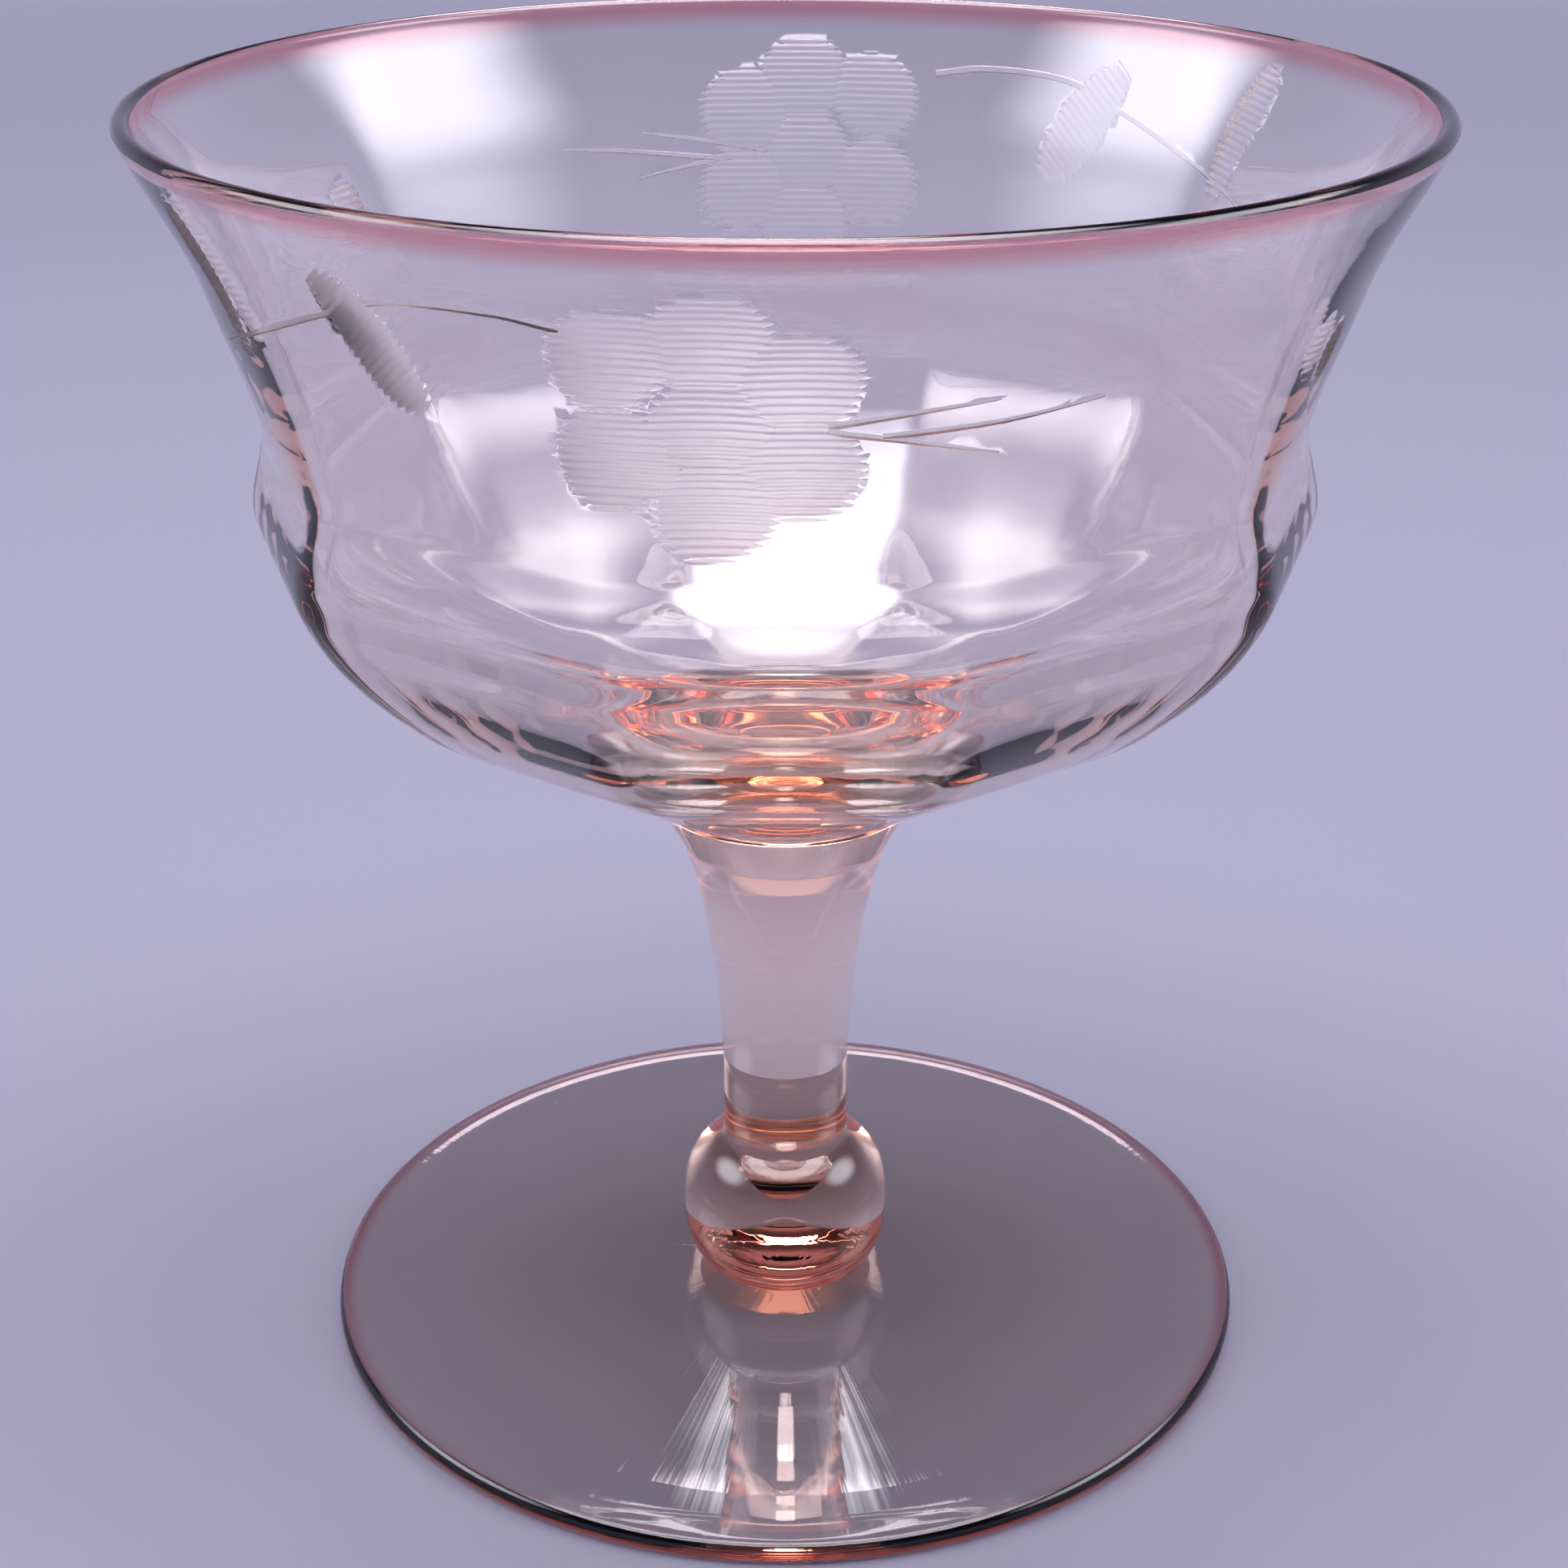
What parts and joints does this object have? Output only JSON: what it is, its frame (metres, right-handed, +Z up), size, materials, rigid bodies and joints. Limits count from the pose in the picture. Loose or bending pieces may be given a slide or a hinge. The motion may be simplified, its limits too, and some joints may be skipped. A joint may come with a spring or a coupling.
{
  "type": "saucer champagne glass",
  "caption": "Low footed saucer champagne or sherbet glass in pale pink glass, with a panelled, waisted bowl flaring to a round rim, a tapered stem, a bead knop and a flat round foot.",
  "frame": {"origin": "middle of the foot's underside, on the surface that the glass stands on", "axes": "+Z up the stem; the middle of one panel of the bowl faces -Y"},
  "size_m": [0.0952, 0.0952, 0.1014],
  "materials": {
    "pink_glass": "clear polished pink glass, salmon where it is thick, with matt grey-cut flowers on the bowl"
  },
  "bodies": {
    "root": {"bowl": "pink_glass", "stem": "pink_glass", "knop": "pink_glass", "foot": "pink_glass"}
  },
  "joints": []
}
